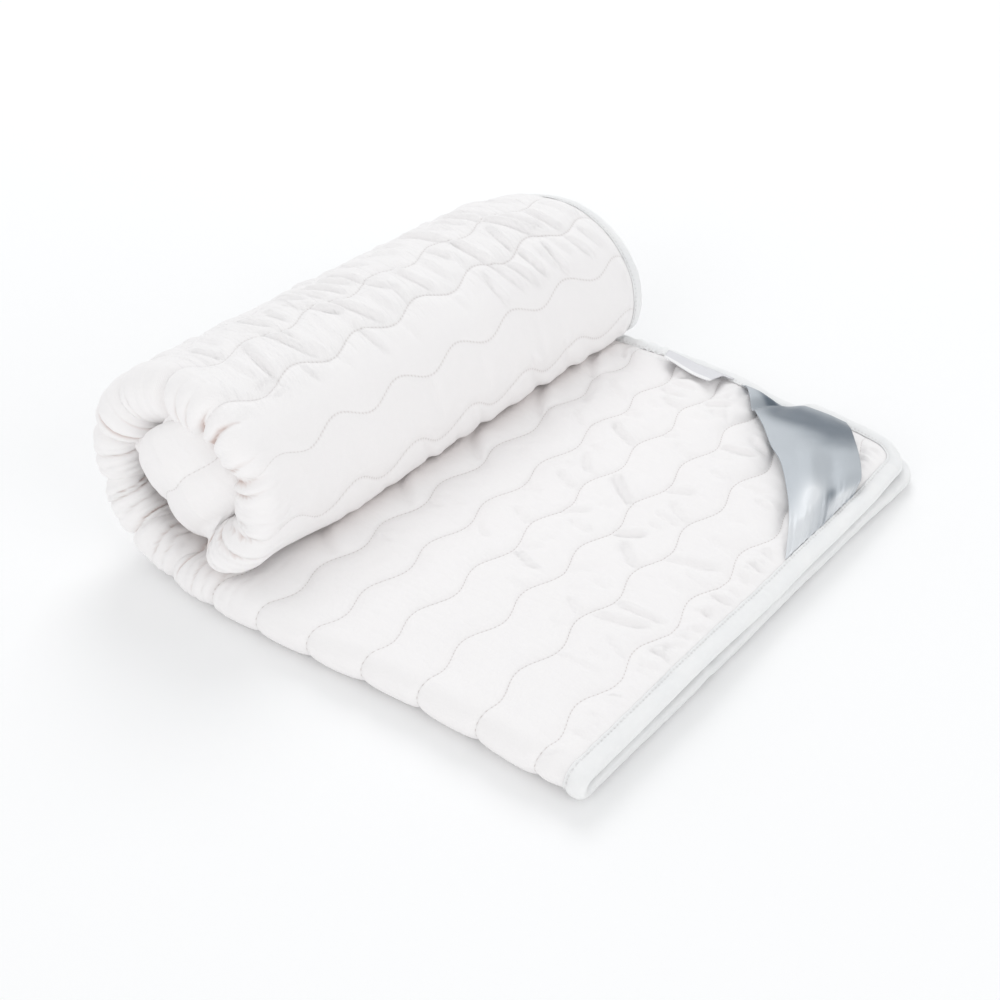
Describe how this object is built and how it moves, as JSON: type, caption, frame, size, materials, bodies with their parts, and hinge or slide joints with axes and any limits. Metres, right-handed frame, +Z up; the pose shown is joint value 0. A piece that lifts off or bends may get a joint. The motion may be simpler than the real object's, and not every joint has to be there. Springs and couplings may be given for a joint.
{
  "type": "rolled quilted mattress pad",
  "caption": "Quilted mattress pad folded along its length and rolled up from one short end, the other end lying flat, with a taped edge, a satin corner band and a blank care label.",
  "frame": {"origin": "on the surface that it rests on, under the middle of its bounding box", "axes": "+Z up, +X from the roll towards the free end that lies flat, +Y along the roll from the folded edge to the bound long edges"},
  "size_m": [0.4378, 0.4796, 0.1553],
  "materials": {
    "pad_cloth": "matt brushed microfibre, off-white, quilted in wavy channels",
    "edge_tape": "smooth woven tape, cool white, one stitched row",
    "satin_band": "glossy satin, silver grey shading to slate, no print",
    "label_ribbon": "smooth white ribbon, blank"
  },
  "bodies": {
    "root": {"pad": "pad_cloth", "binding": "edge_tape", "corner_band": "satin_band", "care_label": "label_ribbon"}
  },
  "joints": []
}
